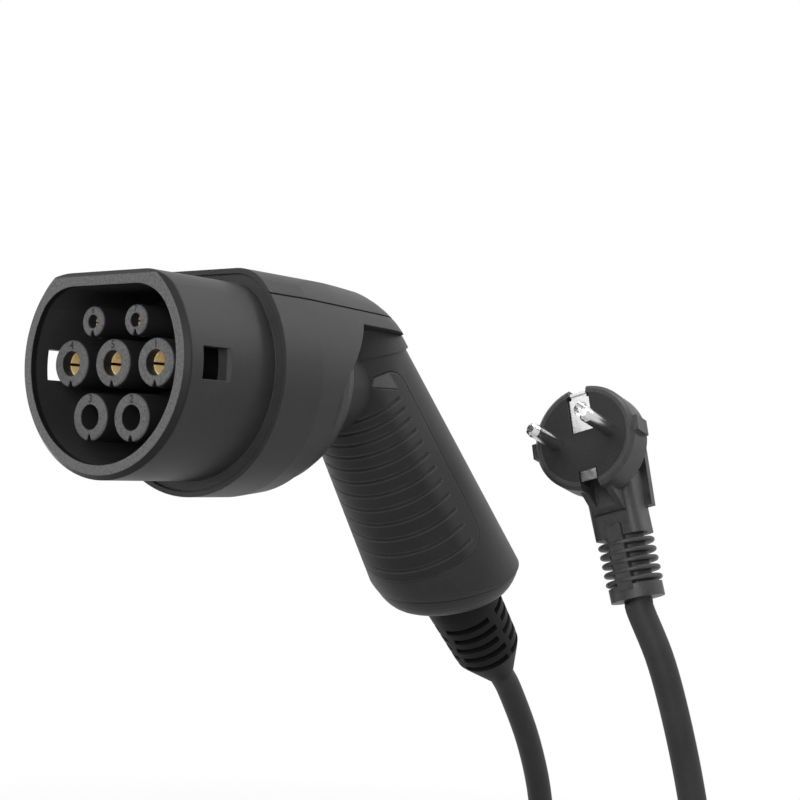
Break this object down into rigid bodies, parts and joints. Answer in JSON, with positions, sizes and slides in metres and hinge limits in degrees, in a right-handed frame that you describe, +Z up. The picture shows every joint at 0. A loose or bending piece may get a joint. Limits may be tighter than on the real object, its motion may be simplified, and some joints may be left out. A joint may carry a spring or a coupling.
{
  "type": "portable ev charger",
  "caption": "Portable vehicle charging lead: charging connector with an angled pistol grip, an angled earthed mains plug, a control box and a coiled cable.",
  "frame": {"origin": "centre of the nose's front rim, on the middle contact's axis", "axes": "+X backwards from the nose to the handle, +Z up, towards the nose's flat top; the plug is on the -Y side"},
  "size_m": [0.3312, 0.2558, 0.2836],
  "materials": {
    "shell": "fine matte moulded texture",
    "carrier": "smooth matte",
    "contact": "bright",
    "steel": "plain",
    "seal": "matte",
    "grip": "soft matte",
    "inlay": "satin",
    "boot": "matte",
    "plug": "satin",
    "pin": "bright nickel",
    "cable": "matte jacket",
    "tie": "woven",
    "box": "fine matte",
    "window": "gloss"
  },
  "bodies": {
    "root": {"nose_shell": "shell", "main_body": "shell", "top_cover": "shell", "handle_shell": "shell", "end_cap": "shell", "contact_carrier": "carrier", "contact_sleeves": "carrier", "contact_retainer": "carrier", "cable_clamp": "carrier", "power_contacts": "contact", "signal_contacts": "contact", "retainer_screws": "steel", "neck_screws": "steel", "clamp_screws": "steel", "box_screws": "steel", "nose_gasket": "seal", "grip_pad": "grip", "side_inlays": "inlay", "cable_boot": "boot", "box_glands": "boot", "plug_body": "plug", "plug_face": "plug", "plug_pins": "pin", "earth_socket": "pin", "earth_clips": "pin", "connector_cable": "cable", "cable_coil": "cable", "box_tail": "cable", "plug_cable": "cable", "coil_tie": "tie", "box_base": "box", "box_lid": "box", "box_window": "window"}
  },
  "joints": []
}
